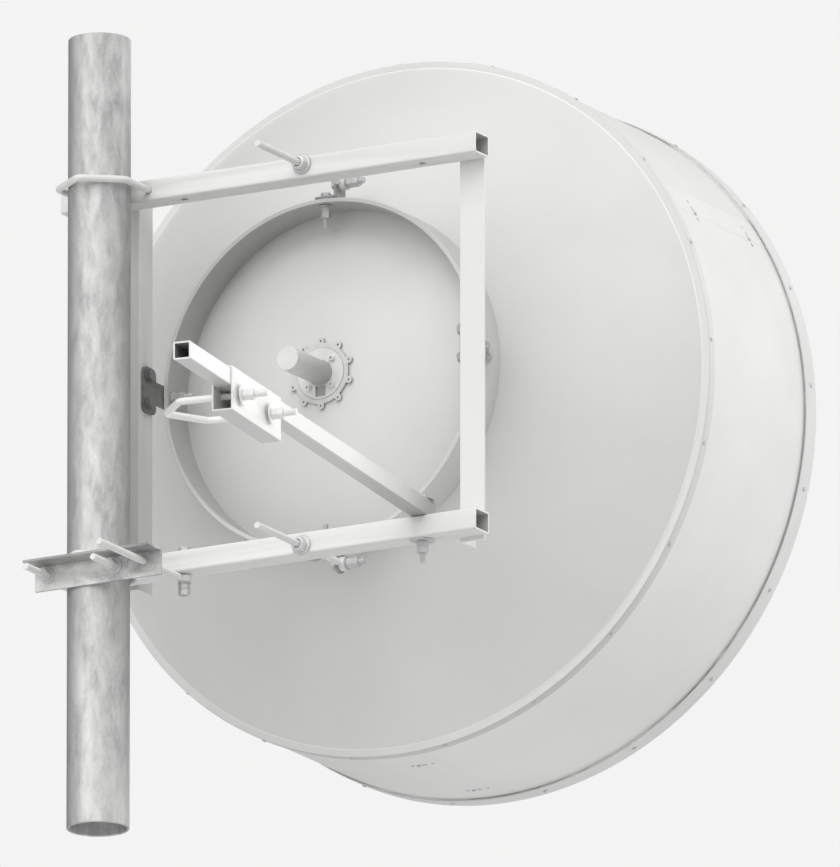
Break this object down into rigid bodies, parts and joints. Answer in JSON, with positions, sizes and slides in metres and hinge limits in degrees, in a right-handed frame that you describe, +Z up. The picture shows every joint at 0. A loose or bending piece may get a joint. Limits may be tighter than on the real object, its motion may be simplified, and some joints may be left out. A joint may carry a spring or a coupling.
{
  "type": "shrouded microwave dish antenna with pole mount",
  "caption": "Shrouded microwave satellite dish on a steel pole, with a tilting ring mount, threaded adjusting rods and a sway strut.",
  "frame": {"origin": "on the pole's axis at its lower end", "axes": "+Z up along the pole, +Y the way the dish looks, +X from the pole across the back of the dish"},
  "size_m": [1.3032, 1.9672, 1.5016],
  "materials": {
    "white_painted_aluminium": "satin",
    "white_painted_steel": "satin",
    "galvanised_steel": "matte",
    "zinc_plated_steel": "satin",
    "dark_steel": "matte",
    "radome_sheet": "matte",
    "absorber_foam": "matte",
    "cast_aluminium": "satin",
    "dielectric": "satin"
  },
  "bodies": {
    "pole": {"mounting_pole": "galvanised_steel", "pole_clamp_angle": "galvanised_steel", "pole_clamp_v_bolt": "zinc_plated_steel", "pole_clamp_nut_left": "zinc_plated_steel", "pole_clamp_nut_right": "zinc_plated_steel", "azimuth_rod_nut": "zinc_plated_steel"},
    "mount_frame": {"upper_tube": "white_painted_steel", "lower_tube": "white_painted_steel", "left_upright": "white_painted_steel", "right_upright": "white_painted_steel", "left_pivot_plate": "dark_steel", "right_pivot_plate": "dark_steel", "left_plate_bolt_upper": "dark_steel", "left_plate_bolt_lower": "dark_steel", "right_plate_bolt_upper": "dark_steel", "right_plate_bolt_lower": "dark_steel", "upper_v_bolt": "white_painted_steel", "lower_v_bolt": "white_painted_steel", "upper_v_bolt_nut_left": "zinc_plated_steel", "upper_v_bolt_nut_right": "zinc_plated_steel", "lower_v_bolt_nut_left": "zinc_plated_steel", "lower_v_bolt_nut_right": "zinc_plated_steel", "upper_rod_nut_rear": "zinc_plated_steel", "upper_rod_nut_front": "zinc_plated_steel", "lower_rod_nut_rear": "zinc_plated_steel", "lower_rod_nut_front": "zinc_plated_steel", "azimuth_eye_bolt": "zinc_plated_steel", "strut_pivot_bolt": "zinc_plated_steel"},
    "dish": {"reflector": "white_painted_aluminium", "mounting_ring": "white_painted_aluminium", "hub_ring": "cast_aluminium", "feed_adapter": "cast_aluminium", "feed_waveguide": "cast_aluminium", "feed_cone": "dielectric", "splash_plate": "cast_aluminium", "shroud": "white_painted_aluminium", "absorber_lining": "absorber_foam", "radome": "radome_sheet", "radome_band": "white_painted_aluminium", "upper_rod_bracket": "galvanised_steel", "lower_rod_bracket": "galvanised_steel", "left_pivot_bolt": "zinc_plated_steel", "right_pivot_bolt": "zinc_plated_steel", "upper_bracket_bolt": "zinc_plated_steel", "lower_bracket_bolt": "zinc_plated_steel", "upper_rod_pin": "zinc_plated_steel", "lower_rod_pin": "zinc_plated_steel", "feed_screw_1": "zinc_plated_steel", "feed_screw_2": "zinc_plated_steel", "feed_screw_3": "zinc_plated_steel", "feed_screw_4": "zinc_plated_steel"},
    "upper_rod": {"upper_elevation_rod": "white_painted_steel"},
    "lower_rod": {"lower_elevation_rod": "white_painted_steel"},
    "azimuth_rod": {"azimuth_rod": "white_painted_steel"},
    "sway_strut": {"sway_strut": "white_painted_steel"},
    "strut_clamp": {"strut_clamp": "white_painted_steel", "strut_v_bolt": "white_painted_steel", "strut_v_bolt_nut_front": "white_painted_steel", "strut_v_bolt_nut_rear": "white_painted_steel"}
  },
  "joints": [
    {"name": "azimuth", "type": "hinge", "parent": "pole", "child": "mount_frame", "pos_m": [0, 0, 0.85], "axis": [0, 0, 1], "range_deg": [-5, 5]},
    {"name": "elevation", "type": "hinge", "parent": "mount_frame", "child": "dish", "pos_m": [0.356, 0.2063, 0.85], "axis": [1, 0, 0], "range_deg": [-5, 5]},
    {"name": "upper_rod_swing", "type": "hinge", "parent": "dish", "child": "upper_rod", "pos_m": [0.3908, 0.2063, 1.2075], "axis": [1, 0, 0], "range_deg": [-5, 5]},
    {"name": "lower_rod_swing", "type": "hinge", "parent": "dish", "child": "lower_rod", "pos_m": [0.3908, 0.2063, 0.4925], "axis": [1, 0, 0], "range_deg": [-5, 5]},
    {"name": "azimuth_rod_swing", "type": "hinge", "parent": "mount_frame", "child": "azimuth_rod", "pos_m": [0.1315, 0.0825, 0.469], "axis": [0, 0, 1], "range_deg": [-2.1, 2.1]},
    {"name": "sway", "type": "hinge", "parent": "mount_frame", "child": "sway_strut", "pos_m": [0.6277, 0.0825, 0.5343], "axis": [0, 0, 1], "range_deg": [-30, 30]},
    {"name": "clamp_slide", "type": "slide", "parent": "sway_strut", "child": "strut_clamp", "axis": [0.1426, -0.9898, 0], "range_m": [-0.25, 0.15]}
  ],
  "couplings": [
    {"joint": "upper_rod_swing", "follows": "elevation", "ratio": -1},
    {"joint": "lower_rod_swing", "follows": "elevation", "ratio": -1},
    {"joint": "azimuth_rod_swing", "follows": "azimuth", "ratio": -0.42}
  ]
}
